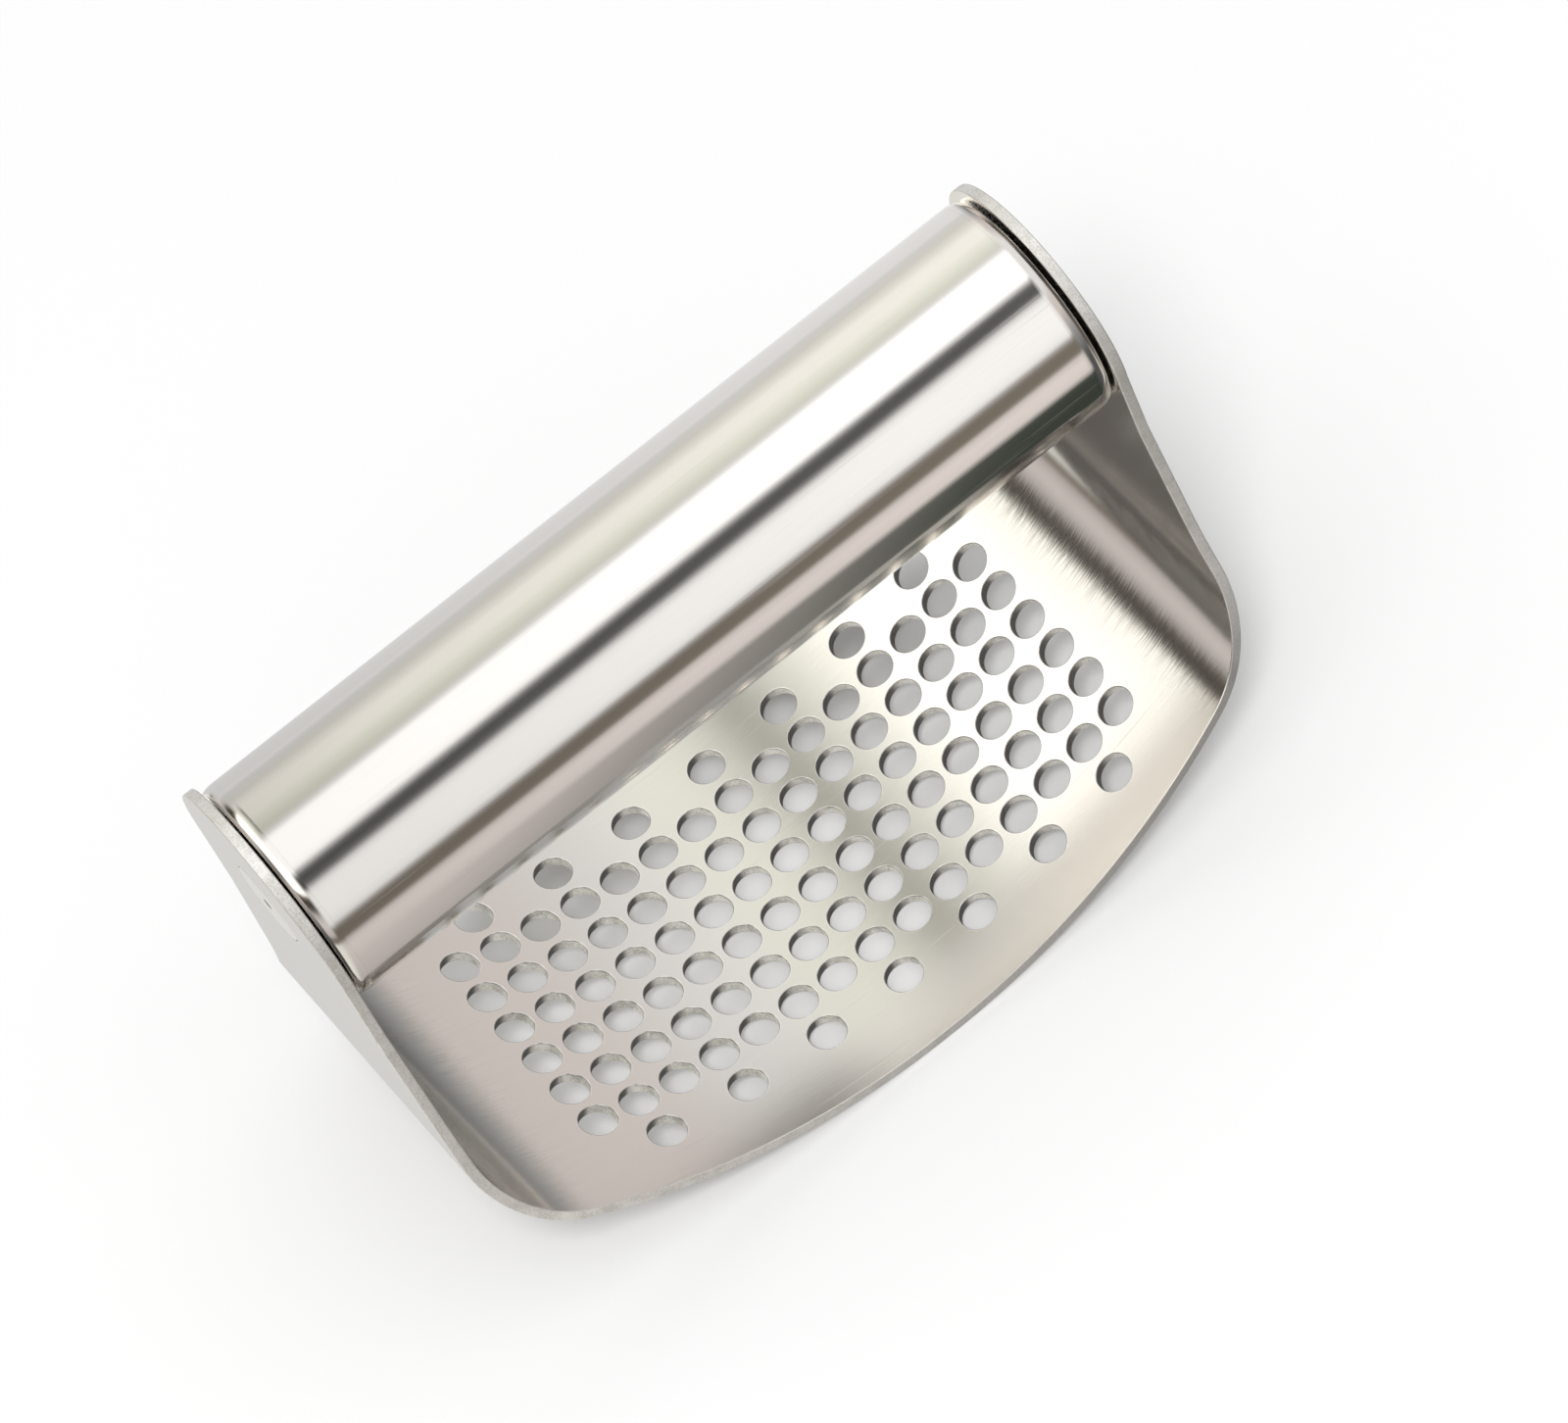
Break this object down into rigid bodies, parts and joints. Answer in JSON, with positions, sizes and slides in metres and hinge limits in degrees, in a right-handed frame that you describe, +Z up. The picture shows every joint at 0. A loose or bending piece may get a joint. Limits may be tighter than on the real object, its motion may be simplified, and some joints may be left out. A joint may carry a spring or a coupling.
{
  "type": "garlic press",
  "caption": "Rocking garlic press: one bent perforated steel sheet with two upright ears and a hollow cylindrical handle pinned between them.",
  "frame": {"origin": "lowest point of the rocker's underside, midway between the ears and midway between the long edges", "axes": "+X along the handle, +Y across the plate, +Z up from the rocker to the handle"},
  "size_m": [0.0958, 0.0518, 0.0662],
  "materials": {
    "sheet_steel": "stainless sheet brushed along the plate, with a rougher sheared edge",
    "handle_steel": "stainless tube, finely polished with a faint grain",
    "pin_steel": "bright turned stainless, faced flat at the outer end",
    "inner_steel": "plain stainless, unpolished inside the handle"
  },
  "bodies": {
    "press": {"press_body": "sheet_steel"},
    "handle": {"handle_tube": "handle_steel", "end_cap_left": "handle_steel", "end_cap_right": "handle_steel", "pivot_pin_left": "pin_steel", "pivot_pin_right": "pin_steel", "spacer_washer_left": "pin_steel", "spacer_washer_right": "pin_steel", "pin_collar_left": "inner_steel", "pin_collar_right": "inner_steel"}
  },
  "joints": [
    {"name": "handle_turn", "type": "hinge", "parent": "press", "child": "handle", "pos_m": [0, 0, 0.0531], "axis": [1, 0, 0], "continuous": true}
  ]
}
